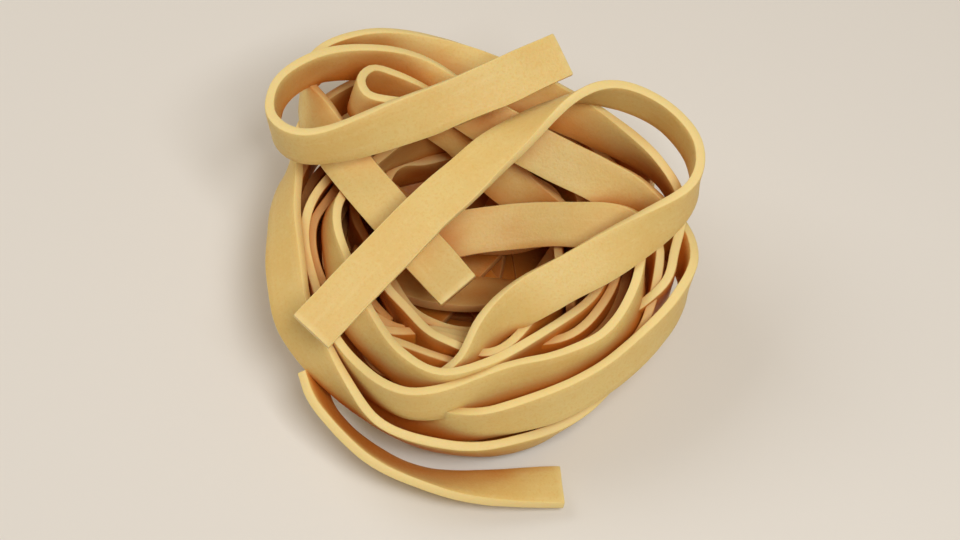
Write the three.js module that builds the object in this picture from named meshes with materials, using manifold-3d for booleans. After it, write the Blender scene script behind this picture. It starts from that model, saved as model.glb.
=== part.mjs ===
// A dry pasta nest: egg-yellow ribbons 5.6 mm wide, wound round and round while soft and dried
// stiff as one open, bowl-like coil.  Millimetres, +Z up, standing on its flat underside.
//
// Every ribbon is a row of stations [x, y, z, lean] along its middle line.  A lean of 0 degrees
// stands the ribbon on edge and 90 lays it flat.  The ribbons are wound by rule, pushed apart
// where they would pass through one another, swept, and joined to a smaller core inside the wall.
import * as THREE from 'three';
import { mergeVertices } from 'three/addons/utils/BufferGeometryUtils.js';
import Module from 'manifold-3d';

// ---- driving dimensions -------------------------------------------------------------------
const RIBBON_WIDTH = 5.6;
const RIBBON_THICKNESS = 1.15;
const NEST_MIDDLE = [1.085, -3.665]; // middle of the wound nest's plan, which becomes the origin

// The wall: coils in three rings and three layers, each about a turn and a half, clockwise.
const WALL = {
  coils: 9,
  rings: [22.4, 19.8, 17.2],
  firstHeight: 2.9,
  layerHeight: 3.6,
  takeIn: 1.2, // each layer is narrower than the one below
  widening: 1.0, // over a coil's length, so that its end lies outside its start
  trueWidthAt: 0.8, // the part of a coil's length at which it has its ring's radius
  climb: 1.6,
  turns: [1.25, 1.55],
  startAngle: 40,
  angleBetweenStarts: 137.5,
  drift: 1.3, // how far a coil's middle wanders off the nest's axis
  slopeToFront: 0.1, // the coils move this far to the front for each millimetre of height
  oval: 1.2,
  lobes: 0.7,
  tip: 1.6,
  ripple: 0.9,
  footFactor: 0.86, // the radius at the floor, as a part of the full radius
  footHeight: 8, // the height at which the radius is full
  leanAtFloor: -14,
  leanPerMillimetre: 2.6,
  leanGrowsTo: 12,
  leanSwing: 18,
  lowest: 2.7,
};

// The floor of the bowl: short lengths that cross the middle nearly flat, their ends turning up
// under the wall.
const FLOOR_RIBBONS = [
  [
    [-16.5, -4, 9.5, 60], [-10, -7, 6.5, 80], [0, -7.5, 5.5, 90], [9, -5.5, 6, 100], [15.5, 1, 9, 125],
  ],
  [
    [-14, 7, 9, 120], [-7, 3, 5.5, 98], [2, 1, 4.5, 90], [10, 2.5, 5.5, 84], [15, 7.5, 9, 62],
  ],
  [
    [-11.5, -14, 7, 70], [-6, -7, 3.5, 84], [2.5, 3.5, 3.2, 90], [8.5, 12.5, 7, 110],
  ],
  [
    [9.5, -15.5, 7, 110], [5, -8, 3, 95], [-1.5, 2, 2.2, 90], [-8, 12, 6.5, 70],
  ],
  [
    [-15.5, -1, 4.5, 80], [-6, -1.5, 1.6, 90], [6, -4, 1.4, 90], [14.5, -6.5, 4, 98],
  ],
  [
    [-3, -17.5, 4, 90], [-2, -9, 1, 90], [3, 2, 1, 90], [3.5, 13.5, 4, 90],
  ],
  [
    [11, -13, 4, 90], [8.5, -5, 1.2, 90], [8.5, 4, 1.2, 90], [9.5, 12.5, 4, 90],
  ],
  [
    [-12.5, -10, 4, 90], [-9, -4, 1.2, 90], [-8.5, 4, 1.2, 90], [-8, 12, 4, 90],
  ],
];
const WAY_POINTS_A_TURN = 10;

// The ribbons that lie on top, each by a few way points: x, y, height, lean.
const TOP_RIBBONS = {
  // cut end low on the left, over the top, round the right-hand loop and back along the wall
  overTheTop: [
    [-18.5, -19, 23, 108], [-2.5, -1.5, 26.5, 98], [12, 11, 27, 44], [17.5, 12, 26, 16],
    [23.5, 9.5, 25, 4], [27, 5, 23.5, 0], [26.5, 0, 22, 8], [16, -7.5, 19, 50],
    [6.5, -12.5, 17, 52], [2, -15.5, 15, 42], [0, -18.5, 12, 30], [-3.5, -20, 9.5, 22],
    [-9.5, -17.5, 8, 16], [-14, -12, 8, 16], [-16, -6, 8, 16],
  ],
  // the inner rim of the bowl
  bowlRim: [
    [15, 5, 12, -6], [17, -1, 12, -5], [15.5, -8, 12, 0], [11, -13.5, 12, 10],
    [5, -17.5, 12, 24], [-2.5, -20.5, 12, 36], [-8, -18.5, 12.5, 38], [-13, -14, 13.5, 38],
    [-16.5, -7, 15, 34], [-17.5, 1, 16.5, 30], [-12, 8, 16, 18], [-3.5, 13, 15, 6],
    [6.5, 14, 14, 0],
  ],
  // cut end at the back, the big loop at the back left, then across and down the right
  topLoop: [
    [11, 15.5, 29.5, 66], [2, 10.5, 29.5, 60], [-19.5, 3.5, 27.3, 10], [-23.5, 6.5, 26.8, -10],
    [-23.5, 12, 26.2, -24], [-19.5, 16.5, 25, -32], [-13, 18.5, 24, -36],
    [-7.5, 17.5, 22.5, -38], [4.5, 9, 21, -58], [16, 4, 19, -58], [21, 2, 17.5, -40],
    [24, -3, 16, -16], [23, -10.5, 14.5, 4], [17.5, -17, 13, 16], [11, -21.5, 11.5, 20],
    [4, -23.5, 10, 18], [-3, -24, 8.5, 14], [-10.5, -22, 7.5, 8], [-16.5, -16.5, 7, 8],
    [-19.5, -8, 7, 8],
  ],
  // the small loop inside the big one, then down into the bowl
  innerLoop: [
    [2, 12, 25.5, 20], [-3.5, 9.5, 25, 20], [-12.5, 10, 24.5, 28], [-14, 13, 24.5, 24],
    [-12, 16, 23.5, 0], [-3, 13, 21, -40], [1, 8.5, 17.5, -50], [6.5, 5, 14, -50],
    [12.5, 2, 11.5, -36], [16.5, -3, 10, -14],
  ],
  // from under the long diagonal, level across the bowl and down the right
  crossBand: [
    [-5.5, -1.5, 15, -62], [0.5, -0.5, 16, -62], [6.5, 0.5, 16, -60], [12.5, 0.5, 16, -56],
    [18, -0.5, 15.5, -40], [22, -5, 14, -14], [21, -12, 12, 4], [16, -17.5, 10, 10],
    [9, -21, 8.5, 10],
  ],
  // cut end over the bowl, passing under the long diagonal, then round the back
  underDiagonal: [
    [-1.5, -11, 18.5, 76], [-15, 4.5, 21.5, 70], [-19, 11, 21, 60], [-21, 16.5, 20, 32],
    [-19, 21, 20, 2], [-13.5, 23.5, 20.5, -26], [-6, 22, 21, -48], [4, 17.5, 22, -58],
    [21.5, 6, 19, -4], [23.5, -5.5, 15, 8], [19.5, -12.5, 12.5, 12], [14, -17.5, 10.5, 12],
    [6, -20.5, 8.5, 10],
  ],
  // the outer ribbon, leaning in over the left shoulder
  outerWall: [
    [23.5, 0.5, 11.5, -4], [21.5, -9.5, 8.5, -8], [12, -21, 5.5, -14], [4, -25, 5.5, -14],
    [-3, -25.5, 6, -12], [-11, -23.5, 8, -4], [-17, -19, 12, 24], [-21.5, -13, 15.5, 56],
    [-23, -4.5, 15.5, 54], [-22.5, 5, 15.5, 34], [-20.5, 14, 15.5, -20], [-14, 20, 16, -36],
    [-6, 21.5, 15.5, -28], [2, 20, 14.5, -10], [10, 17, 14, 0], [16.5, 13.5, 13, 0],
    [22, 7, 12, 4],
  ],
  // the ring that rims the bowl in front
  frontRing: [
    [21.5, -4.5, 16, -4], [20, -10.5, 15, 6], [16, -16, 14, 12], [10.5, -19, 13.5, 16],
    [4.5, -20.5, 12.5, 20], [-7.5, -22.5, 11.5, 22], [-16.5, -15.5, 12, 30],
    [-19.5, 0, 13, 26], [-15.5, 8, 13, 16], [-8.5, 13, 12.5, 6], [0.5, 15, 11.5, 0],
    [9.5, 14, 10.5, 0],
  ],
  // the end that has sprung away from the wall in front
  strayEnd: [
    [-20, -18, 10.5, 50], [-18, -22.5, 9, 58], [-12, -27.5, 6, 64], [-3, -30, 3.5, 70],
    [11, -29, 1.5, 82],
  ],
};

// Settling: how far apart the ribbons come to rest, and how a push moves them.
const STATION_SPACING = 1.3;
const CLEARANCE = 0.12;
const ROUNDS = 320;
const ROUNDS_BETWEEN_SEARCHES = 6;
const SEARCH_MARGIN = 0.8;
const OWN_REACH = 9; // parts of one ribbon closer than this along it do not push each other
const PUSH_SPREAD = 5; // a push is felt this far along the ribbon
const PUSH_GAIN = 1.6;
const TURN_GAIN = 0.6;
const ROUNDS_BETWEEN_SMOOTHINGS = 4;
const TOP_GIVE = 0.35; // a top ribbon gives way less than the coils below it
const COIL_GIVE = 1;
const STRAIGHTENING = 0.3; // how fast a sideways bend comes out of a ribbon
const ROLLING = 0.03; // how fast a ribbon rolls over to bend across its faces instead

// Sweeping: a faceted ribbon keeps only the stations that its shape needs.
const CHORD_ERROR = 0.24;
const LONGEST_CHORD = 9;
const LARGEST_TURN = 24;

// The core, hidden between the ribbons: a turned dish with the wall's own hollow rim.
const CORE = {
  middle: [0, -0.6],
  sides: 26,
  profile: [ // radius, height
    [0, 0], [18.6, 0], [21, 3], [22.4, 7], [22.4, 11], [20.4, 13],
    [18, 13], [16.8, 10], [16.2, 6], [14, 3.6], [0, 3],
  ],
};
const SPACE_ABOVE_FLOOR = [200, 200, 100];
const SMALLEST_DETAIL = 0.001; // slivers smaller than this, left where ribbons meet, are dropped

const SEED = 12345;
const DRAW_FACTOR = 16807;
const DRAW_MODULUS = 2147483647;
const FULL_TURN = 2 * Math.PI;
const radians = (degrees) => (degrees * FULL_TURN) / 360;

// ---- winding ------------------------------------------------------------------------------
let drawState = SEED;

function draw(low, high) {
  drawState = (drawState * DRAW_FACTOR) % DRAW_MODULUS;
  return low + ((high - low) * drawState) / DRAW_MODULUS;
}

function wallCoil(index) {
  const layer = Math.floor(index / WALL.rings.length);
  const ring = WALL.rings[index % WALL.rings.length] - WALL.takeIn * layer;
  const middleHeight = WALL.firstHeight + WALL.layerHeight * layer;
  const start = radians(WALL.startAngle + WALL.angleBetweenStarts * index);
  const turns = draw(...WALL.turns);
  const cx = draw(-WALL.drift, WALL.drift);
  const cy = draw(-WALL.drift, WALL.drift) - WALL.slopeToFront * middleHeight;
  const [oval, lobe, tip, ripple] = Array.from({ length: 4 }, () => draw(0, FULL_TURN));
  const count = Math.round(turns * WAY_POINTS_A_TURN);
  return Array.from({ length: count + 1 }, (_, k) => {
    const a = start - (FULL_TURN * turns * k) / count;
    const z = middleHeight + WALL.climb * (k / count - 0.5)
      + WALL.tip * Math.sin(a + tip) + WALL.ripple * Math.sin(2 * a + ripple);
    const foot = WALL.footFactor + (1 - WALL.footFactor) * Math.min(1, z / WALL.footHeight);
    const round = ring + WALL.widening * (k / count - WALL.trueWidthAt)
      + WALL.oval * Math.sin(2 * a + oval) + WALL.lobes * Math.sin(3 * a + lobe);
    const lean = WALL.leanAtFloor + WALL.leanPerMillimetre * Math.min(z, WALL.leanGrowsTo)
      + WALL.leanSwing * Math.sin(1.5 * a + ripple);
    return [
      cx + foot * round * Math.cos(a), cy + foot * round * Math.sin(a),
      Math.max(z, WALL.lowest), lean,
    ];
  });
}

const distance = (a, b) => Math.hypot(b[0] - a[0], b[1] - a[1], b[2] - a[2]);

// A centripetal Catmull-Rom curve through the way points, cut into evenly spaced stations.
function stationsThrough(way) {
  const PIECES_PER_SPAN = 24;
  const beyond = (end, next) => end.map((v, q) => 2 * v - next[q]);
  const p = [beyond(way[0], way[1]), ...way, beyond(way.at(-1), way.at(-2))];
  const mix = (a, b, ta, tb, t) => a.map((v, q) => ((tb - t) * v + (t - ta) * b[q]) / (tb - ta));
  const fine = [];
  for (let i = 1; i < p.length - 2; i++) {
    const [a, b, c, d] = p.slice(i - 1, i + 3);
    const t1 = Math.sqrt(distance(a, b));
    const t2 = t1 + Math.sqrt(distance(b, c));
    const t3 = t2 + Math.sqrt(distance(c, d));
    for (let k = 0; k < PIECES_PER_SPAN; k++) {
      const t = t1 + ((t2 - t1) * k) / PIECES_PER_SPAN;
      const ab = mix(a, b, 0, t1, t);
      const bc = mix(b, c, t1, t2, t);
      const cd = mix(c, d, t2, t3, t);
      fine.push(mix(mix(ab, bc, 0, t2, t), mix(bc, cd, t1, t3, t), t1, t2, t));
    }
  }
  fine.push(way.at(-1));

  const run = [0];
  for (let i = 1; i < fine.length; i++) run.push(run[i - 1] + distance(fine[i - 1], fine[i]));
  const last = Math.round(run.at(-1) / STATION_SPACING);
  let i = 1;
  return Array.from({ length: last + 1 }, (_, k) => {
    const s = (run.at(-1) * k) / last;
    while (i < run.length - 1 && run[i] < s) i++;
    const u = Math.min(1, (s - run[i - 1]) / (run[i] - run[i - 1]));
    return fine[i - 1].map((v, q) => v + (fine[i][q] - v) * u);
  });
}

// The direction along the ribbon, its face normal and the direction across it, at each station.
function framesAlong(stations) {
  return stations.map((station, i) => {
    const before = stations[Math.max(0, i - 1)];
    const after = stations[Math.min(stations.length - 1, i + 1)];
    const along = new THREE.Vector3(...[0, 1, 2].map((q) => after[q] - before[q])).normalize();
    const level = new THREE.Vector3(-along.y, along.x, 0).normalize();
    const upright = along.clone().cross(level);
    const lean = radians(station[3]);
    const normal = level.multiplyScalar(Math.cos(lean)).addScaledVector(upright, Math.sin(lean));
    return { along, normal, across: along.clone().cross(normal) };
  });
}

// ---- settling: where ribbons would meet, they push each other apart ------------------------
// A row of balls across each station stands for the ribbon there.
const BALL_PLACES = [-1, -0.5, 0, 0.5, 1].map((k) => (k * (RIBBON_WIDTH - RIBBON_THICKNESS)) / 2);
const BALLS = BALL_PLACES.length;

// Pairs of balls closer than reach, by a grid of cells of that size.
function closePairs(balls, ribbonOf, placeOf, reach) {
  const GRID = 1024;
  const cellKey = (cell) => cell.reduce((key, v) => key * GRID + v + GRID / 2, 0);
  const cellOf = (ball) => ball.toArray().map((v) => Math.floor(v / reach));
  const cells = new Map();
  balls.forEach((ball, i) => {
    const key = cellKey(cellOf(ball));
    if (!cells.has(key)) cells.set(key, []);
    cells.get(key).push(i);
  });
  const ownGap = Math.floor(OWN_REACH / STATION_SPACING);
  const mayPush = (i, j) => {
    const [si, sj] = [Math.floor(i / BALLS), Math.floor(j / BALLS)];
    return ribbonOf[si] !== ribbonOf[sj] || Math.abs(placeOf[si] - placeOf[sj]) > ownGap;
  };
  const pairs = [];
  balls.forEach((ball, i) => {
    const [x, y, z] = cellOf(ball);
    for (const dx of [-1, 0, 1]) {
      for (const dy of [-1, 0, 1]) {
        for (const dz of [-1, 0, 1]) {
          for (const j of cells.get(cellKey([x + dx, y + dy, z + dz])) ?? []) {
            if (j > i && ball.distanceTo(balls[j]) < reach && mayPush(i, j)) pairs.push([i, j]);
          }
        }
      }
    }
  });
  return pairs;
}

// How each station is pushed and turned in one round.
function pushOnStations(stations, frames, balls, pairs, giveOf) {
  const reach = RIBBON_THICKNESS + CLEARANCE;
  const push = balls.map(() => new THREE.Vector3());
  const hits = balls.map(() => 0);
  for (const [i, j] of pairs) {
    const apart = balls[i].clone().sub(balls[j]);
    const gap = apart.length();
    if (gap === 0 || gap >= reach) continue;
    const [gi, gj] = [giveOf[Math.floor(i / BALLS)], giveOf[Math.floor(j / BALLS)]];
    apart.multiplyScalar((reach - gap) / gap / (gi + gj));
    push[i].addScaledVector(apart, gi);
    push[j].addScaledVector(apart, -gj);
    hits[i]++;
    hits[j]++;
  }
  balls.forEach((ball, i) => {
    const below = RIBBON_THICKNESS / 2 - ball.z;
    if (below > 0) {
      push[i].z += below;
      hits[i]++;
    }
    push[i].divideScalar(Math.max(1, hits[i]));
  });
  const squares = BALL_PLACES.reduce((sum, w) => sum + w * w, 0);
  return stations.map((_, k) => {
    const own = push.slice(k * BALLS, (k + 1) * BALLS);
    const touched = hits.slice(k * BALLS, (k + 1) * BALLS).filter((h) => h > 0).length;
    const move = own.reduce((sum, v) => sum.add(v), new THREE.Vector3());
    const turn = own.reduce((sum, v, q) => sum - BALL_PLACES[q] * v.dot(frames[k].normal), 0);
    const degrees = THREE.MathUtils.radToDeg(turn / squares);
    return [...move.divideScalar(Math.max(1, touched)).toArray(), TURN_GAIN * degrees];
  });
}

// A ribbon bends over its faces, and hardly at all towards its edges: how each station moves and
// rolls to take a sideways bend out.
function relief(stations, frames, give) {
  const SMALL_BEND = 0.01;
  const middles = stations.map(([x, y, z]) => new THREE.Vector3(x, y, z));
  return stations.map((_, k) => {
    if (k === 0 || k === stations.length - 1) return [0, 0, 0, 0];
    const bend = middles[k + 1].clone().add(middles[k - 1]).addScaledVector(middles[k], -2);
    const { normal, across } = frames[k];
    const sideways = bend.dot(across);
    const outward = bend.dot(normal);
    const roll = (sideways * outward) / (sideways ** 2 + outward ** 2 + SMALL_BEND);
    return [
      ...across.clone().multiplyScalar(STRAIGHTENING * give * sideways).toArray(),
      THREE.MathUtils.radToDeg(ROLLING * give * roll),
    ];
  });
}

// Each row becomes the weighted mean of the rows round it, the end rows standing in past the ends.
function blurred(rows, weights) {
  const half = (weights.length - 1) / 2;
  const total = weights.reduce((a, b) => a + b);
  const near = (k) => rows[Math.min(rows.length - 1, Math.max(0, k))];
  return rows.map((row, k) => row.map((_, q) =>
    weights.reduce((sum, w, h) => sum + w * near(k + h - half)[q], 0) / total));
}

function settle(ribbons) {
  const half = Math.round(PUSH_SPREAD / STATION_SPACING);
  const spread = Array.from({ length: 2 * half + 1 }, (_, k) =>
    1 - Math.cos((FULL_TURN * (k + 1)) / (2 * half + 2)));
  const ribbonOf = ribbons.flatMap((r, i) => r.stations.map(() => i));
  const placeOf = ribbons.flatMap((r) => r.stations.map((_, k) => k));
  const giveOf = ribbons.flatMap((r) => r.stations.map(() => r.give));
  const moved = ribbons.map((r) => r.stations.map(() => [0, 0, 0, 0]));
  const placed = () => ribbons.map((r, i) =>
    r.stations.map((station, k) => station.map((v, q) => v + moved[i][k][q])));
  let pairs = [];
  for (let round = 0; round < ROUNDS; round++) {
    const now = placed();
    const framesOf = now.map(framesAlong);
    const frames = framesOf.flat();
    const stations = now.flat();
    const balls = stations.flatMap(([x, y, z], k) => BALL_PLACES.map((w) =>
      new THREE.Vector3(x, y, z).addScaledVector(frames[k].across, w)));
    if (round % ROUNDS_BETWEEN_SEARCHES === 0) {
      const reach = RIBBON_THICKNESS + CLEARANCE + SEARCH_MARGIN;
      pairs = closePairs(balls, ribbonOf, placeOf, reach);
    }
    const pushes = pushOnStations(stations, frames, balls, pairs, giveOf);
    const smoothing = (round + 1) % ROUNDS_BETWEEN_SMOOTHINGS === 0;
    let first = 0;
    moved.forEach((rows, i) => {
      const felt = blurred(pushes.slice(first, first + rows.length), spread);
      const eased = relief(now[i], framesOf[i], ribbons[i].give);
      const next = rows.map((row, k) =>
        row.map((v, q) => v + PUSH_GAIN * felt[k][q] + eased[k][q]));
      moved[i] = smoothing ? blurred(next, [1, 2, 1]) : next;
      first += rows.length;
    });
  }
  return placed();
}

// ---- sweeping -----------------------------------------------------------------------------
// A ribbon's middle line, with its own frames, at the stations that a faceted sweep needs.
class RibbonPath extends THREE.Curve {
  constructor(stations) {
    super();
    this.points = stations.map(([x, y, z]) => new THREE.Vector3(x, y, z));
    this.frames = framesAlong(stations);
    this.kept = [0];
    const last = stations.length - 1;
    for (let i = 1; i < last; i++) {
      const from = this.kept.at(-1);
      const chord = new THREE.Line3(this.points[from], this.points[i + 1]);
      const spare = new THREE.Vector3();
      const bulge = Math.max(...this.points.slice(from, i + 2).map((p) =>
        chord.closestPointToPoint(p, true, spare).distanceTo(p)));
      const turn = Math.abs(stations[i + 1][3] - stations[from][3]);
      if (bulge > CHORD_ERROR || turn > LARGEST_TURN || chord.distance() > LONGEST_CHORD) {
        this.kept.push(i);
      }
    }
    this.kept.push(last);
  }

  getPoint(t) {
    return this.points[Math.round(t * (this.points.length - 1))].clone();
  }

  getSpacedPoints() {
    return this.kept.map((i) => this.points[i].clone());
  }

  computeFrenetFrames() {
    const frames = this.kept.map((i) => this.frames[i]);
    return {
      tangents: frames.map((f) => f.along),
      normals: frames.map((f) => f.normal),
      binormals: frames.map((f) => f.across),
    };
  }
}

function ribbonGeometry(stations) {
  const [t, w] = [RIBBON_THICKNESS / 2, RIBBON_WIDTH / 2];
  const corners = [[-t, -w], [t, -w], [t, w], [-t, w]];
  const section = new THREE.Shape(corners.map(([x, y]) => new THREE.Vector2(x, y)));
  const path = new RibbonPath(stations);
  return new THREE.ExtrudeGeometry(section, {
    steps: path.kept.length - 1,
    bevelEnabled: false,
    extrudePath: path,
  });
}

function coreGeometry() {
  const profile = CORE.profile.map(([r, z]) => new THREE.Vector2(r, z));
  return new THREE.LatheGeometry(profile, CORE.sides)
    .rotateX(Math.PI / 2)
    .translate(CORE.middle[0], CORE.middle[1], 0);
}

// ---- joining ------------------------------------------------------------------------------
const wasm = await Module();
wasm.setup();

function solidOf(geometry) {
  geometry.deleteAttribute('uv');
  geometry.deleteAttribute('normal');
  const merged = mergeVertices(geometry);
  return new wasm.Manifold(new wasm.Mesh({
    numProp: 3,
    vertProperties: merged.getAttribute('position').array,
    triVerts: new Uint32Array(merged.index.array),
  }));
}

function geometryOf(solid) {
  const { vertProperties, triVerts } = solid.getMesh();
  const geometry = new THREE.BufferGeometry();
  geometry.setAttribute('position', new THREE.BufferAttribute(vertProperties, 3));
  geometry.setIndex(new THREE.BufferAttribute(triVerts, 1));
  return geometry;
}

function woundNest() {
  const ribbon = (way, give) => ({ stations: stationsThrough(way), give });
  const ribbons = Object.values(TOP_RIBBONS).map((way) => ribbon(way, TOP_GIVE));
  for (let i = 0; i < WALL.coils; i++) ribbons.push(ribbon(wallCoil(i), COIL_GIVE));
  for (const way of FLOOR_RIBBONS) ribbons.push(ribbon(way, COIL_GIVE));

  const whole = settle(ribbons).reduce(
    (joined, stations) => joined.add(solidOf(ribbonGeometry(stations))),
    solidOf(coreGeometry()),
  );
  const above = new THREE.BoxGeometry(...SPACE_ABOVE_FLOOR)
    .translate(0, 0, SPACE_ABOVE_FLOOR[2] / 2);
  const clean = whole.intersect(solidOf(above)).asOriginal().simplify(SMALLEST_DETAIL);
  // The largest shell is the nest: the others are sealed pockets inside it.
  const nest = clean.decompose().reduce((a, b) => (b.volume() > a.volume() ? b : a));
  return geometryOf(nest).translate(-NEST_MIDDLE[0], -NEST_MIDDLE[1], 0);
}

const nest = new THREE.Mesh(woundNest(), new THREE.MeshStandardMaterial({
  color: '#e3bc6c',
  roughness: 0.62,
  metalness: 0,
  flatShading: true,
}));
nest.name = 'nest';

const root = new THREE.Group();
root.name = 'dry_pasta_nest';
root.add(nest);

export default root;
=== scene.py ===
# A dry pasta nest: ribbons of egg pasta, wound while soft into an open coil and dried stiff.
# The winding is worked out in millimetres and the meshes are made in metres.  +Z is up, and
# the nest stands on the floor on its flattened underside.
import math

import bpy
import numpy as np
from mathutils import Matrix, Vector, kdtree, noise
from mathutils.bvhtree import BVHTree


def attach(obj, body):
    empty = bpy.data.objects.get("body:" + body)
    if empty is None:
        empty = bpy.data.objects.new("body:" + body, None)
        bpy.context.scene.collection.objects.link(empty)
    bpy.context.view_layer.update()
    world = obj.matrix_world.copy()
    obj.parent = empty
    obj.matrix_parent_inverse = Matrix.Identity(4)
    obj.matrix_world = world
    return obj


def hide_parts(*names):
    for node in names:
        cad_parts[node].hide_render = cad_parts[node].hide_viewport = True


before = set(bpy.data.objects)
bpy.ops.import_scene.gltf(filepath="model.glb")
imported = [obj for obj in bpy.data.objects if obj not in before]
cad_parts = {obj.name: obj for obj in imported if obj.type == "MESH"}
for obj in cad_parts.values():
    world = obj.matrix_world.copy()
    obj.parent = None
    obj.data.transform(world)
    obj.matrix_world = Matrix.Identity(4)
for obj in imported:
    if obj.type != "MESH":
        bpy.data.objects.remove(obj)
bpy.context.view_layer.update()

bpy.ops.object.select_all(action="DESELECT")

# ---------------------------------------------------------------------------------------------
# The ribbon.  Egg dough is rolled to a sheet, slit into strips and wound while it is soft.
# A strip keeps flat faces and two square, slightly softened edges where it was slit.
RIBBON_WIDTH = 5.6
RIBBON_THICKNESS = 1.15
STATION_SPACING = 1.3


def curve_through(way_points):
    """Evenly spaced stations (x, y, z, lean) on a centripetal Catmull-Rom curve."""
    pieces_a_span = 24
    way = np.array(way_points, float)
    way = np.vstack([2 * way[0] - way[1], way, 2 * way[-1] - way[-2]])
    fine = []
    for a, b, c, d in zip(way, way[1:], way[2:], way[3:]):
        t1 = np.linalg.norm((b - a)[:3]) ** 0.5
        t2 = t1 + np.linalg.norm((c - b)[:3]) ** 0.5
        t3 = t2 + np.linalg.norm((d - c)[:3]) ** 0.5
        t = np.linspace(t1, t2, pieces_a_span, endpoint=False)[:, None]
        ab = (t1 - t) / t1 * a + t / t1 * b
        bc = (t2 - t) / (t2 - t1) * b + (t - t1) / (t2 - t1) * c
        cd = (t3 - t) / (t3 - t2) * c + (t - t2) / (t3 - t2) * d
        abc = (t2 - t) / t2 * ab + t / t2 * bc
        bcd = (t3 - t) / (t3 - t1) * bc + (t - t1) / (t3 - t1) * cd
        fine.append((t2 - t) / (t2 - t1) * abc + (t - t1) / (t2 - t1) * bcd)
    fine = np.vstack([*fine, way[-2:-1]])
    run = np.r_[0, np.cumsum(np.linalg.norm(np.diff(fine[:, :3], axis=0), axis=1))]
    places = np.linspace(0, run[-1], round(run[-1] / STATION_SPACING) + 1)
    return np.stack([np.interp(places, run, column) for column in fine.T], 1)


def ribbon_directions(stations):
    """Along the ribbon, out of its face and across it, at each station.

    A lean of 0 degrees stands the ribbon on edge and 90 lays it flat.
    """
    ahead = np.vstack([stations[1:, :3], stations[-1:, :3]])
    behind = np.vstack([stations[:1, :3], stations[:-1, :3]])
    along = ahead - behind
    along /= np.linalg.norm(along, axis=1, keepdims=True)
    level = np.stack([-along[:, 1], along[:, 0], np.zeros(len(along))], 1)
    level /= np.linalg.norm(level, axis=1, keepdims=True)
    upright = np.cross(along, level)
    lean = np.radians(stations[:, 3:])
    face = np.cos(lean) * level + np.sin(lean) * upright
    return along, face, np.cross(along, face)


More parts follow.
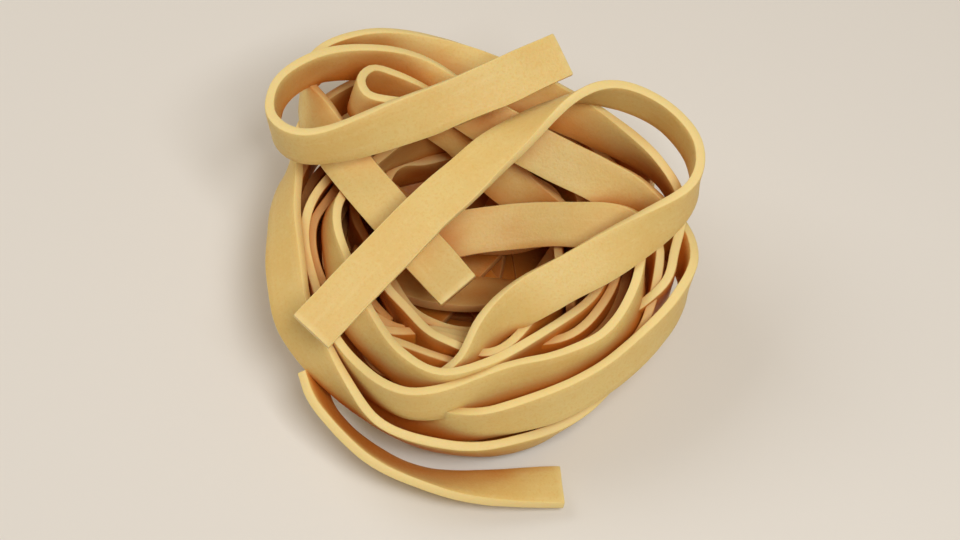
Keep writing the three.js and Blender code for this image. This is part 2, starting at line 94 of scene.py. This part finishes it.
# ---------------------------------------------------------------------------------------------
# The loose ribbons on top.  They were laid down last, so their square-cut ends stay in sight
# and their loops spring up.  Each runs through way points: x, y, height, lean.
LOOSE_RIBBONS = {
    # cut end low on the left, over the top, round the right-hand loop and back along the wall
    "over_the_top": [
        (-18.5, -19, 23, 108), (-2.5, -1.5, 26.5, 98), (12, 11, 27, 44), (17.5, 12, 26, 16),
        (23.5, 9.5, 25, 4), (27, 5, 23.5, 0), (26.5, 0, 22, 8), (16, -7.5, 19, 50),
        (6.5, -12.5, 17, 52), (2, -15.5, 15, 42), (0, -18.5, 12, 30), (-3.5, -20, 9.5, 22),
        (-9.5, -17.5, 8, 16), (-14, -12, 8, 16), (-16, -6, 8, 16),
    ],
    # the inner rim of the bowl
    "bowl_rim": [
        (15, 5, 12, -6), (17, -1, 12, -5), (15.5, -8, 12, 0), (11, -13.5, 12, 10),
        (5, -17.5, 12, 24), (-2.5, -20.5, 12, 36), (-8, -18.5, 12.5, 38), (-13, -14, 13.5, 38),
        (-16.5, -7, 15, 34), (-17.5, 1, 16.5, 30), (-12, 8, 16, 18), (-3.5, 13, 15, 6),
        (6.5, 14, 14, 0),
    ],
    # cut end at the back, the big loop at the back left, then across and down the right
    "top_loop": [
        (11, 15.5, 29.5, 66), (2, 10.5, 29.5, 60), (-19.5, 3.5, 27.3, 10), (-23.5, 6.5, 26.8, -10),
        (-23.5, 12, 26.2, -24), (-19.5, 16.5, 25, -32), (-13, 18.5, 24, -36),
        (-7.5, 17.5, 22.5, -38), (4.5, 9, 21, -58), (16, 4, 19, -58), (21, 2, 17.5, -40),
        (24, -3, 16, -16), (23, -10.5, 14.5, 4), (17.5, -17, 13, 16), (11, -21.5, 11.5, 20),
        (4, -23.5, 10, 18), (-3, -24, 8.5, 14), (-10.5, -22, 7.5, 8), (-16.5, -16.5, 7, 8),
        (-19.5, -8, 7, 8),
    ],
    # the small loop inside the big one, then down into the bowl
    "inner_loop": [
        (2, 12, 25.5, 20), (-3.5, 9.5, 25, 20), (-12.5, 10, 24.5, 28), (-14, 13, 24.5, 24),
        (-12, 16, 23.5, 0), (-3, 13, 21, -40), (1, 8.5, 17.5, -50), (6.5, 5, 14, -50),
        (12.5, 2, 11.5, -36), (16.5, -3, 10, -14),
    ],
    # from under the long diagonal, level across the bowl and down the right
    "cross_band": [
        (-5.5, -1.5, 15, -62), (0.5, -0.5, 16, -62), (6.5, 0.5, 16, -60), (12.5, 0.5, 16, -56),
        (18, -0.5, 15.5, -40), (22, -5, 14, -14), (21, -12, 12, 4), (16, -17.5, 10, 10),
        (9, -21, 8.5, 10),
    ],
    # cut end over the bowl, passing under the long diagonal, then round the back
    "under_diagonal": [
        (-1.5, -11, 18.5, 76), (-15, 4.5, 21.5, 70), (-19, 11, 21, 60), (-21, 16.5, 20, 32),
        (-19, 21, 20, 2), (-13.5, 23.5, 20.5, -26), (-6, 22, 21, -48), (4, 17.5, 22, -58),
        (21.5, 6, 19, -4), (23.5, -5.5, 15, 8), (19.5, -12.5, 12.5, 12), (14, -17.5, 10.5, 12),
        (6, -20.5, 8.5, 10),
    ],
    # the outer ribbon, leaning in over the left shoulder
    "outer_wall": [
        (23.5, 0.5, 11.5, -4), (21.5, -9.5, 8.5, -8), (12, -21, 5.5, -14), (4, -25, 5.5, -14),
        (-3, -25.5, 6, -12), (-11, -23.5, 8, -4), (-17, -19, 12, 24), (-21.5, -13, 15.5, 56),
        (-23, -4.5, 15.5, 54), (-22.5, 5, 15.5, 34), (-20.5, 14, 15.5, -20), (-14, 20, 16, -36),
        (-6, 21.5, 15.5, -28), (2, 20, 14.5, -10), (10, 17, 14, 0), (16.5, 13.5, 13, 0),
        (22, 7, 12, 4),
    ],
    # the ring that rims the bowl in front
    "front_ring": [
        (21.5, -4.5, 16, -4), (20, -10.5, 15, 6), (16, -16, 14, 12), (10.5, -19, 13.5, 16),
        (4.5, -20.5, 12.5, 20), (-7.5, -22.5, 11.5, 22), (-16.5, -15.5, 12, 30),
        (-19.5, 0, 13, 26), (-15.5, 8, 13, 16), (-8.5, 13, 12.5, 6), (0.5, 15, 11.5, 0),
        (9.5, 14, 10.5, 0),
    ],
    # the end that has sprung away from the wall in front
    "stray_end": [
        (-20, -18, 10.5, 50), (-18, -22.5, 9, 58), (-12, -27.5, 6, 64), (-3, -30, 3.5, 70),
        (11, -29, 1.5, 82),
    ],
}
loose_ribbons = [curve_through(way) for way in LOOSE_RIBBONS.values()]

# ---------------------------------------------------------------------------------------------
# The wall.  Nine coils of about a turn and a half each, in three rings and three layers, are
# wound clockwise one over another and hold the whole nest up.
WALL_COILS = 9
WALL_RINGS = (22.4, 19.8, 17.2)
WALL_FIRST_HEIGHT = 2.9
WALL_LAYER_HEIGHT = 3.6
WALL_LOWEST = 2.7
WALL_TURNS = (1.25, 1.55)
WALL_DRIFT = 1.3
WALL_TAKE_IN = 1.2  # each layer is narrower than the one below
WALL_WIDENING = 1.0  # a coil's end lies outside its start
WALL_TRUE_WIDTH_AT = 0.8  # the share of a coil at which it lies on its own ring
WALL_OVAL, WALL_LOBE = 1.2, 0.7  # how far a coil is from round
WALL_CLIMB, WALL_TILT, WALL_WAVE = 1.6, 1.6, 0.9
WALL_FOOT = 0.86  # the wall draws in towards the floor, below this height:
WALL_FOOT_HEIGHT = 8
WALL_SLOPE_TO_FRONT = 0.1
WALL_START = math.radians(40)
WALL_BETWEEN_STARTS = math.radians(137.5)
WAY_POINTS_A_TURN = 10
FULL_TURN = 2 * math.pi

draw_state = 12345


def draw(low, high):
    """The next of a fixed row of evenly spread values."""
    global draw_state
    draw_state = draw_state * 16807 % 2147483647
    return low + (high - low) * draw_state / 2147483647


def wall_coil(index):
    layer = index // len(WALL_RINGS)
    ring = WALL_RINGS[index % len(WALL_RINGS)] - WALL_TAKE_IN * layer
    middle = WALL_FIRST_HEIGHT + WALL_LAYER_HEIGHT * layer
    turns = draw(*WALL_TURNS)
    x = draw(-WALL_DRIFT, WALL_DRIFT)
    y = draw(-WALL_DRIFT, WALL_DRIFT) - WALL_SLOPE_TO_FRONT * middle
    oval, lobe, tip, ripple = (draw(0, FULL_TURN) for _ in range(4))
    count = round(turns * WAY_POINTS_A_TURN)
    part = np.arange(count + 1) / count
    angle = WALL_START + WALL_BETWEEN_STARTS * index - FULL_TURN * turns * part
    z = middle + WALL_CLIMB * (part - 0.5)
    z += WALL_TILT * np.sin(angle + tip) + WALL_WAVE * np.sin(2 * angle + ripple)
    foot = WALL_FOOT + 0.14 * np.minimum(1, z / WALL_FOOT_HEIGHT)
    radius = ring + WALL_WIDENING * (part - WALL_TRUE_WIDTH_AT)
    radius = radius + WALL_OVAL * np.sin(2 * angle + oval) + WALL_LOBE * np.sin(3 * angle + lobe)
    radius = foot * radius
    lean = -14 + 2.6 * np.minimum(z, 12) + 18 * np.sin(1.5 * angle + ripple)
    z = np.maximum(z, WALL_LOWEST)
    return np.stack([x + radius * np.cos(angle), y + radius * np.sin(angle), z, lean], 1)


wall_coils = [curve_through(wall_coil(i)) for i in range(WALL_COILS)]

# ---------------------------------------------------------------------------------------------
# The floor of the bowl.  Short lengths were wound first: they cross the middle nearly flat, and
# their ends turn up under the wall.
FLOOR_RIBBONS = [
    [(-16.5, -4, 9.5, 60), (-10, -7, 6.5, 80), (0, -7.5, 5.5, 90), (9, -5.5, 6, 100), (15.5, 1, 9, 125)],
    [(-14, 7, 9, 120), (-7, 3, 5.5, 98), (2, 1, 4.5, 90), (10, 2.5, 5.5, 84), (15, 7.5, 9, 62)],
    [(-11.5, -14, 7, 70), (-6, -7, 3.5, 84), (2.5, 3.5, 3.2, 90), (8.5, 12.5, 7, 110)],
    [(9.5, -15.5, 7, 110), (5, -8, 3, 95), (-1.5, 2, 2.2, 90), (-8, 12, 6.5, 70)],
    [(-15.5, -1, 4.5, 80), (-6, -1.5, 1.6, 90), (6, -4, 1.4, 90), (14.5, -6.5, 4, 98)],
    [(-3, -17.5, 4, 90), (-2, -9, 1, 90), (3, 2, 1, 90), (3.5, 13.5, 4, 90)],
    [(11, -13, 4, 90), (8.5, -5, 1.2, 90), (8.5, 4, 1.2, 90), (9.5, 12.5, 4, 90)],
    [(-12.5, -10, 4, 90), (-9, -4, 1.2, 90), (-8.5, 4, 1.2, 90), (-8, 12, 4, 90)],
]
floor_ribbons = [curve_through(way) for way in FLOOR_RIBBONS]

# ---------------------------------------------------------------------------------------------
# Drying down.  Soft ribbons give way where they meet, so each is pushed off the others, and
# off the tray, until they only touch.  The loose ribbons give way less than the coils.
TOUCHING = RIBBON_THICKNESS + 0.12
SETTLING_ROUNDS = 320
LOOSE_GIVE = 0.35
COIL_GIVE = 1.0
STRAIGHTENING = 0.3
ROLLING = 0.03
TWISTING = 0.6
PUSHING = 1.6
OWN_REACH = 9  # a ribbon can't meet itself nearer than this along its length
LOOKOUT = 0.8  # balls this much further off are kept in sight until pairs are sought again
ROUNDS_A_SEARCH = 6
ROUNDS_A_SMOOTHING = 4
BALLS = (RIBBON_WIDTH - RIBBON_THICKNESS) / 2 * np.linspace(-1, 1, 5)  # across a ribbon


def blurred(rows, weights):
    half = len(weights) // 2
    padded = np.pad(rows, ((half, half), (0, 0)), mode="edge")
    kernel = np.array(weights) / np.sum(weights)
    return np.stack([np.convolve(column, kernel, "valid") for column in padded.T], 1)


def meeting_balls(balls, ribbon_of, place_of, reach):
    """Pairs of balls nearer than reach, other than neighbours on one ribbon."""
    tree = kdtree.KDTree(len(balls))
    for i, ball in enumerate(balls):
        tree.insert(ball, i)
    tree.balance()
    pairs = np.array([
        (i, j) for i, ball in enumerate(balls) for _, j, _ in tree.find_range(ball, reach) if j > i
    ])
    first, second = pairs.T
    own_reach = int(OWN_REACH / STATION_SPACING)
    a, b = first // len(BALLS), second // len(BALLS)
    apart = (ribbon_of[a] != ribbon_of[b]) | (np.abs(place_of[a] - place_of[b]) > own_reach)
    return first[apart], second[apart]


def summed(index, rows, count):
    return np.stack([np.bincount(index, column, count) for column in rows.T], 1)


def settled(ribbons, gives):
    ends = np.cumsum([len(r) for r in ribbons])
    spans = [slice(end - len(r), end) for end, r in zip(ends, ribbons)]
    ribbon_of = np.concatenate([np.full(len(r), i) for i, r in enumerate(ribbons)])
    place_of = np.concatenate([np.arange(len(r)) for r in ribbons])
    give_of = np.repeat(np.array(gives)[ribbon_of], len(BALLS))
    laid = np.vstack(ribbons)
    moved = np.zeros_like(laid)
    spread = 1 - np.cos(FULL_TURN * np.arange(1, 10) / 10)
    for turn in range(SETTLING_ROUNDS):
        now = laid + moved
        face, across = np.empty((2, len(now), 3))
        for span in spans:
            _, face[span], across[span] = ribbon_directions(now[span])
        balls = (now[:, None, :3] + BALLS[:, None] * across[:, None]).reshape(-1, 3)
        if turn % ROUNDS_A_SEARCH == 0:
            first, second = meeting_balls(balls, ribbon_of, place_of, TOUCHING + LOOKOUT)
        between = balls[first] - balls[second]
        gap = np.linalg.norm(between, axis=1)
        hit = (gap > 0) & (gap < TOUCHING)
        a, b = first[hit], second[hit]
        shove = between[hit] * ((TOUCHING - gap[hit]) / gap[hit] / (give_of[a] + give_of[b]))[:, None]
        count = len(balls)
        push = summed(a, shove * give_of[a, None], count) - summed(b, shove * give_of[b, None], count)
        hits = np.bincount(a, minlength=count) + np.bincount(b, minlength=count)
        below = RIBBON_THICKNESS / 2 - balls[:, 2]
        push[:, 2] += np.maximum(below, 0)
        hits += below > 0
        push = (push / np.maximum(hits, 1)[:, None]).reshape(-1, len(BALLS), 3)
        touched = (hits.reshape(-1, len(BALLS)) > 0).sum(1)
        shift = push.sum(1) / np.maximum(touched, 1)[:, None]
        twist = -(BALLS * (push * face[:, None]).sum(2)).sum(1) / (BALLS ** 2).sum()
        felt = np.c_[shift, TWISTING * np.degrees(twist)]
        for span, give in zip(spans, gives):
            # a strip bends over its faces, and hardly at all towards its edges
            middle = now[span, :3]
            bend = np.zeros_like(middle)
            bend[1:-1] = middle[2:] - 2 * middle[1:-1] + middle[:-2]
            sideways, outward = (bend * across[span]).sum(1), (bend * face[span]).sum(1)
            roll = sideways * outward / (sideways ** 2 + outward ** 2 + 0.01)
            moved[span, :3] += STRAIGHTENING * give * sideways[:, None] * across[span]
            moved[span, 3] += ROLLING * give * np.degrees(roll)
            moved[span] += PUSHING * blurred(felt[span], spread)
            if turn % ROUNDS_A_SMOOTHING == ROUNDS_A_SMOOTHING - 1:
                moved[span] = blurred(moved[span], [1, 2, 1])
    return [laid[span] + moved[span] for span in spans]


gives = [LOOSE_GIVE] * len(loose_ribbons) + [COIL_GIVE] * (len(wall_coils) + len(floor_ribbons))
dried = settled(loose_ribbons + wall_coils + floor_ribbons, gives)

# ---------------------------------------------------------------------------------------------
# The dried ribbon's form.  Drying cups a strip a little, ripples its slit edges and leaves its
# faces faintly uneven.  The knife leaves each end square, with a slightly crushed rim.
NEST_MIDDLE = np.array([1.085, -3.665, 0])  # middle of the wound nest's plan
MESH_SPACING = 0.8
CORNER_RADIUS = 0.17
CUPPING = 0.10
EDGE_RIPPLE = 0.07
FACE_RIPPLE = 0.09
FACE_UNEVENNESS = 0.035
THICKNESS_CHANGE = 0.04
CRUSHED_RIM = 0.10  # of the knife's cut
CUT_END_REACH = 0.5
SMOOTH_ANGLE = math.radians(38)
MILLIMETRE = 0.001


def ribbon_section():
    """Points round the section, across and out of the face."""
    half_width, half_thickness = RIBBON_WIDTH / 2, RIBBON_THICKNESS / 2
    points = []
    for side, face, start in ((1, 1, 0), (-1, 1, 90), (-1, -1, 180), (1, -1, 270)):
        for turn in (0, 45, 90):
            angle = math.radians(start + turn)
            points.append((
                side * (half_width - CORNER_RADIUS) + CORNER_RADIUS * math.cos(angle),
                face * (half_thickness - CORNER_RADIUS) + CORNER_RADIUS * math.sin(angle),
            ))
        if start in (0, 180):
            inner = side * (half_width - CORNER_RADIUS) * np.linspace(1, -1, 7)[1:-1]
            points += [(x, face * half_thickness) for x in inner]
    return np.array(points)


SECTION = ribbon_section()
ON_EDGE = np.clip((np.abs(SECTION[:, 0]) - (RIBBON_WIDTH / 2 - CORNER_RADIUS)) / CORNER_RADIUS, 0, 1)


def slow_wave(run, shortest, longest):
    """A wave of about unit height that never quite repeats along the ribbon."""
    total = np.zeros(len(run))
    for height in (0.6, 0.45, 0.3):
        total += height * np.sin(FULL_TURN * run / draw(shortest, longest) + draw(0, FULL_TURN))
    return total


def finely(stations):
    """Stations close enough together for a smooth surface."""
    run = np.r_[0, np.cumsum(np.linalg.norm(np.diff(stations[:, :3], axis=0), axis=1))]
    steps = round(run[-1] / MESH_SPACING)
    place = np.linspace(0, len(stations) - 1, steps + 1)
    at = np.minimum(place.astype(int), len(stations) - 2)
    t = (place - at)[:, None]
    padded = np.vstack([2 * stations[0] - stations[1], stations, 2 * stations[-1] - stations[-2]])
    a, b, c, d = (padded[at + k] for k in range(4))
    smooth = 0.5 * (2 * b + (c - a) * t + (2 * a - 5 * b + 4 * c - d) * t ** 2
                    + (3 * b - a - 3 * c + d) * t ** 3)
    return smooth, np.interp(place, np.arange(len(run)), run)


def ribbon_mesh(stations):
    """Vertices (mm) in rings, with each vertex's place along and across the ribbon."""
    fine, run = finely(stations)
    _, face, across = ribbon_directions(fine)
    cup = CUPPING * slow_wave(run, 30, 70)
    left, right = (EDGE_RIPPLE * slow_wave(run, 7, 19) for _ in range(2))
    frill = FACE_RIPPLE * slow_wave(run, 9, 22)
    thickness = 1 + THICKNESS_CHANGE * slow_wave(run, 12, 30)
    unit = SECTION[:, 0] / (RIBBON_WIDTH / 2)
    a = SECTION[:, 0] + np.where(SECTION[:, 0] > 0, right[:, None], left[:, None]) * np.abs(unit)
    n = SECTION[:, 1] * thickness[:, None]
    n = n + cup[:, None] * (unit ** 2 - 1 / 3) + frill[:, None] * unit ** 3
    rings = fine[:, None, :3] + a[..., None] * across[:, None] + n[..., None] * face[:, None]
    return rings, run


def ribbons_object(name, ribbons):
    """One mesh of several ribbons, with a UV map that runs along them and their tints."""
    around = len(SECTION)
    vertices, faces, uv, edge, tint, end = [], [], [], [], [], []
    base = 0
    for stations in ribbons:
        rings, run = ribbon_mesh(stations)
        ahead = rings[-1].mean(0) - rings[-2].mean(0)
        behind = rings[0].mean(0) - rings[1].mean(0)
        rim = CRUSHED_RIM
        caps = []
        for ring, out in ((rings[0], behind), (rings[-1], ahead)):
            middle = ring.mean(0)
            inward = middle - ring
            inward *= rim / np.maximum(np.linalg.norm(inward, axis=1, keepdims=True), rim)
            caps.append(ring + inward + rim * 0.6 * out / np.linalg.norm(out))
        rings = np.concatenate([caps[:1], rings, caps[1:]])
        run = np.r_[run[0] - rim, run, run[-1] + rim]
        count = len(rings)
        vertices.append(rings.reshape(-1, 3))
        index = base + np.arange(count * around).reshape(count, around)
        after = np.roll(index, -1, 1)
        faces += np.stack([index[:-1], index[1:], after[1:], after[:-1]], -1).reshape(-1, 4).tolist()
        faces.append(index[0].tolist())
        faces.append(index[-1, ::-1].tolist())
        offset = draw(0, 1000)
        place = np.broadcast_arrays(run[:, None] + offset, SECTION[None, :, 0])
        uv.append(np.stack(place, -1).reshape(-1, 2))
        edge.append(np.broadcast_to(ON_EDGE, (count, around)).ravel())
        tint.append(np.full(count * around, draw(0, 1)))
        from_end = np.minimum(run - run[0], run[-1] - run)
        end.append(np.repeat(np.clip(1 - from_end / CUT_END_REACH, 0, 1), around))
        base += count * around
    points = np.vstack(vertices) - NEST_MIDDLE
    mesh = bpy.data.meshes.new(name)
    mesh.from_pydata((points * MILLIMETRE).tolist(), [], faces)
    corner = np.empty(len(mesh.loops), np.int32)
    mesh.loops.foreach_get("vertex_index", corner)
    along = mesh.uv_layers.new(name="along_ribbon")
    along.data.foreach_set("uv", (np.vstack(uv)[corner] * MILLIMETRE).astype(np.float32).ravel())
    for layer, values in (("slit_edge", edge), ("ribbon_tint", tint), ("cut_end", end)):
        attribute = mesh.attributes.new(layer, "FLOAT", "POINT")
        attribute.data.foreach_set("value", np.concatenate(values).astype(np.float32))
    made = bpy.data.objects.new(name, mesh)
    bpy.context.scene.collection.objects.link(made)
    # the faces' own unevenness, in and out of the surface
    normals = np.empty(len(mesh.vertices) * 3, np.float32)
    mesh.vertices.foreach_get("normal", normals)
    normals = normals.reshape(-1, 3)
    uneven = np.array([noise.noise(Vector(p) / 2.6) + 0.4 * noise.noise(Vector(p) / 0.9) for p in points])
    points = points + FACE_UNEVENNESS * uneven[:, None] * normals
    points[:, 2] = np.maximum(points[:, 2], 0)
    mesh.vertices.foreach_set("co", (points * MILLIMETRE).astype(np.float32).ravel())
    mesh.update()
    bpy.context.view_layer.objects.active = made
    made.select_set(True)
    bpy.ops.object.shade_smooth_by_angle(angle=SMOOTH_ANGLE)
    made.select_set(False)
    return made


def srgb(red, green, blue):
    """A colour from its 0 to 255 display values."""
    def linear(value):
        value /= 255
        return value / 12.92 if value <= 0.04045 else ((value + 0.055) / 1.055) ** 2.4
    return (linear(red), linear(green), linear(blue), 1)


# Dried egg dough is matt and a little translucent, mottled by the semolina's paler grains.
# Its slit edges and cut ends are paler and rougher than its rolled faces.
DOUGH_YELLOW = srgb(228, 202, 130)
DOUGH_DEEP = srgb(222, 178, 94)
DOUGH_PALE = srgb(238, 218, 156)
# painted shade: the deep orange painted into the dough where other ribbons close it in, standing in for
# shade and the orange light bounced between ribbons
PAINTED_SHADE_ORANGE = srgb(200, 116, 32)
SLIT_EDGE = srgb(242, 219, 152)


def dough_material():
    material = bpy.data.materials.new("dried_egg_dough")
    material.use_nodes = True
    nodes, links = material.node_tree.nodes, material.node_tree.links
    dough = nodes["Principled BSDF"]
    place = nodes.new("ShaderNodeTexCoord")
    along = nodes.new("ShaderNodeUVMap")
    along.uv_map = "along_ribbon"

    def attribute(name):
        node = nodes.new("ShaderNodeAttribute")
        node.attribute_name = name
        return node.outputs["Fac"]

    def grain(size, detail, source=place.outputs["Object"], stretch=(1, 1, 1)):
        """Noise whose grains are about size across, in metres."""
        turn = nodes.new("ShaderNodeMapping")
        turn.inputs["Scale"].default_value = stretch
        links.new(source, turn.inputs["Vector"])
        node = nodes.new("ShaderNodeTexNoise")
        node.inputs["Scale"].default_value = 1 / size
        node.inputs["Detail"].default_value = detail
        links.new(turn.outputs["Vector"], node.inputs["Vector"])
        return node.outputs["Fac"]

    def ramp(value, low, high, start=0.0, stop=1.0):
        node = nodes.new("ShaderNodeMapRange")
        node.interpolation_type = "SMOOTHSTEP"
        node.inputs["From Min"].default_value = low
        node.inputs["From Max"].default_value = high
        node.inputs["To Min"].default_value = start
        node.inputs["To Max"].default_value = stop
        links.new(value, node.inputs["Value"])
        return node.outputs["Result"]

    def mixed(amount, first, second):
        node = nodes.new("ShaderNodeMix")
        node.data_type = "RGBA"
        links.new(amount, node.inputs["Factor"])
        for socket, colour in ((node.inputs["A"], first), (node.inputs["B"], second)):
            if isinstance(colour, tuple):
                socket.default_value = colour
            else:
                links.new(colour, socket)
        return node.outputs["Result"]

    def combined(kind, first, second):
        node = nodes.new("ShaderNodeMath")
        node.operation = kind
        for socket, value in ((node.inputs[0], first), (node.inputs[1], second)):
            if isinstance(value, (int, float)):
                socket.default_value = value
            else:
                links.new(value, socket)
        return node.outputs["Value"]

    clouds = grain(0.007, 3)
    semolina = grain(0.0003, 1)
    flecks = grain(0.0006, 2)
    streaks = grain(0.0007, 2, along.outputs["UV"], (0.06, 1, 1))

    colour = mixed(ramp(clouds, 0.35, 0.68, 0, 0.35), DOUGH_YELLOW, DOUGH_DEEP)
    colour = mixed(combined("MULTIPLY", attribute("ribbon_tint"), 0.3), colour, DOUGH_DEEP)
    colour = mixed(ramp(streaks, 0.45, 0.80, 0, 0.20), colour, DOUGH_PALE)
    colour = mixed(ramp(flecks, 0.50, 0.75, 0, 0.25), colour, DOUGH_PALE)
    colour = mixed(ramp(semolina, 0.50, 0.70, 0, 0.35), colour, DOUGH_DEEP)
    # painted shade: the colour turns deep orange where the feelers meet other dough, in the crevices and
    # deep in the bowl
    colour = mixed(ramp(attribute("painted_shade"), 0.30, 0.92), colour, PAINTED_SHADE_ORANGE)
    rim = combined("MAXIMUM", attribute("slit_edge"), attribute("cut_end"))
    # painted shade on the pale edges too: their paleness fades where other ribbons close them in
    rim = combined("MULTIPLY", rim, ramp(attribute("painted_shade"), 0.3, 1.0, 0.8, 0.2))
    colour = mixed(rim, colour, SLIT_EDGE)
    links.new(colour, dough.inputs["Base Color"])

    links.new(ramp(flecks, 0.3, 0.7, 0.50, 0.64), dough.inputs["Roughness"])
    dough.inputs["Subsurface Weight"].default_value = 0.25
    dough.inputs["Subsurface Radius"].default_value = (1.0, 0.5, 0.2)
    dough.inputs["Subsurface Scale"].default_value = 0.0012
    dough.inputs["Specular IOR Level"].default_value = 0.4

    relief = combined("ADD", combined("MULTIPLY", semolina, 0.6), combined("MULTIPLY", flecks, 0.4))
    bump = nodes.new("ShaderNodeBump")
    bump.inputs["Strength"].default_value = 0.35
    bump.inputs["Distance"].default_value = 0.00012
    links.new(relief, bump.inputs["Height"])
    links.new(bump.outputs["Normal"], dough.inputs["Normal"])
    return material


dough = dough_material()
kinds = {
    "loose_ribbons": dried[:len(loose_ribbons)],
    "wall_coils": dried[len(loose_ribbons):len(loose_ribbons) + len(wall_coils)],
    "floor_ribbons": dried[len(loose_ribbons) + len(wall_coils):],
}
pieces = []
for kind, ribbons in kinds.items():
    piece = ribbons_object(kind, ribbons)
    piece.data.materials.append(dough)
    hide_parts("nest")
    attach(piece, "root")
    pieces.append(piece)

# ---------------------------------------------------------------------------------------------
# The hidden middle.  Under the floor of the bowl the lowest ribbons have dried together into one
# flat cake of dough, which shows only through the chinks between them.
CAKE_RADIUS = 0.016
CAKE_HEIGHT = 0.0011
CAKE_EDGE = 0.0004
bpy.ops.mesh.primitive_cylinder_add(
    vertices=72, radius=CAKE_RADIUS, depth=CAKE_HEIGHT, location=(0, 0.001, CAKE_HEIGHT / 2))
cake = bpy.context.object
cake.name = "floor_cake"
cake.data.materials.append(dough)
bpy.ops.object.mode_set(mode="EDIT")
bpy.ops.mesh.select_all(action="SELECT")
bpy.ops.mesh.bevel(offset=CAKE_EDGE, segments=3)
bpy.ops.object.mode_set(mode="OBJECT")
bpy.ops.object.transform_apply(location=True, rotation=True, scale=True)
bpy.ops.object.shade_smooth_by_angle(angle=SMOOTH_ANGLE)
cake.select_set(False)
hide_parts("nest")
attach(cake, "root")
pieces.append(cake)

# ---------------------------------------------------------------------------------------------
# Painted shade.  Where ribbons lie close together the dough is painted a deep orange, for the shade
# and the orange light bounced between them.  A point's painted shade is the share of short feelers, out
# of its surface, that meet dough.
FEELERS = 14
FEELER_REACH = 0.018
FEELER_START = 0.0001


def spread_directions():
    """Directions over a dome round +Z, closest together at its top."""
    part = (np.arange(FEELERS) + 0.5) / FEELERS
    turn = np.arange(FEELERS) * math.pi * (3 - math.sqrt(5))
    return np.stack([np.sqrt(part) * np.cos(turn), np.sqrt(part) * np.sin(turn), np.sqrt(1 - part)], 1)


def places_and_normals(piece):
    count = len(piece.data.vertices)
    places, normals = np.empty((2, count * 3), np.float32)
    piece.data.vertices.foreach_get("co", places)
    piece.data.vertices.foreach_get("normal", normals)
    return places.reshape(-1, 3), normals.reshape(-1, 3)


everything, faces = [], []
for piece in pieces:
    first = len(everything)
    everything += [tuple(v.co) for v in piece.data.vertices]
    faces += [[first + i for i in face.vertices] for face in piece.data.polygons]
dough_tree = BVHTree.FromPolygons(everything, faces)
dome = spread_directions()

for piece in pieces:
    places, normals = places_and_normals(piece)
    aside = np.cross(normals, np.where(np.abs(normals[:, 2:]) < 0.9, (0, 0, 1), (1, 0, 0)))
    aside /= np.linalg.norm(aside, axis=1, keepdims=True)
    other = np.cross(normals, aside)
    axes = np.stack([aside, other, normals], 1)
    directions = np.einsum("fk,vkx->vfx", dome, axes)
    starts = places + FEELER_START * normals
    met = np.array([
        [dough_tree.ray_cast(start, way, FEELER_REACH)[0] is not None for way in ways]
        for start, ways in zip(starts.tolist(), directions.tolist())
    ])
    painted_shade = met.mean(1)
    if piece is not cake:
        rows = blurred(painted_shade.reshape(-1, len(SECTION)), [1, 2, 3, 2, 1])
        painted_shade = ((np.roll(rows, 1, 1) + 2 * rows + np.roll(rows, -1, 1)) / 4).ravel()
    # the share met is kept on the mesh, and the material paints shade by it
    layer = piece.data.attributes.new("painted_shade", "FLOAT", "POINT")
    layer.data.foreach_set("value", painted_shade.astype(np.float32))

# ---------------------------------------------------------------------------------------------
# The table under the nest: plain, pale and matt, with the light of a bright, soft window.
bpy.ops.mesh.primitive_plane_add(size=4, location=(0, 0, 0))
table = bpy.context.object
table.name = "table"
table_paint = bpy.data.materials.new("pale_table")
table_paint.use_nodes = True
paint = table_paint.node_tree.nodes["Principled BSDF"]
paint.inputs["Base Color"].default_value = (0.78, 0.76, 0.72, 1)
paint.inputs["Roughness"].default_value = 0.8
table.data.materials.append(table_paint)

sky = bpy.data.worlds.new("soft_room")
sky.use_nodes = True
sky.node_tree.nodes["Background"].inputs["Color"].default_value = (1.0, 0.76, 0.48, 1)
sky.node_tree.nodes["Background"].inputs["Strength"].default_value = 0.26
bpy.context.scene.world = sky

NEST_HEART = Vector((0, 0, 0.014))


def soft_light(name, place, size, power):
    lamp = bpy.data.lights.new(name, "AREA")
    lamp.size = size
    lamp.energy = power
    held = bpy.data.objects.new(name, lamp)
    held.location = place
    held.rotation_euler = (NEST_HEART - Vector(place)).to_track_quat("-Z", "Y").to_euler()
    bpy.context.scene.collection.objects.link(held)


soft_light("window", (0.10, -0.17, 0.40), 0.16, 1.13)
soft_light("room_side", (-0.26, 0.16, 0.34), 0.30, 0.60)

# The camera looks down over the front of the nest, 60 degrees above the table.
CAMERA_HEIGHT = math.radians(60)
CAMERA_DISTANCE = 0.295
AIM = Vector((0.0, -0.0010, 0.0125))
lens = bpy.data.cameras.new("camera")
lens.lens = 90
lens.clip_start = 0.01
camera = bpy.data.objects.new("camera", lens)
back = Vector((0, -math.cos(CAMERA_HEIGHT), math.sin(CAMERA_HEIGHT)))
camera.location = AIM + CAMERA_DISTANCE * back
camera.rotation_euler = (-back).to_track_quat("-Z", "Y").to_euler()
bpy.context.scene.collection.objects.link(camera)
bpy.context.scene.camera = camera
bpy.context.scene.view_settings.view_transform = "Standard"
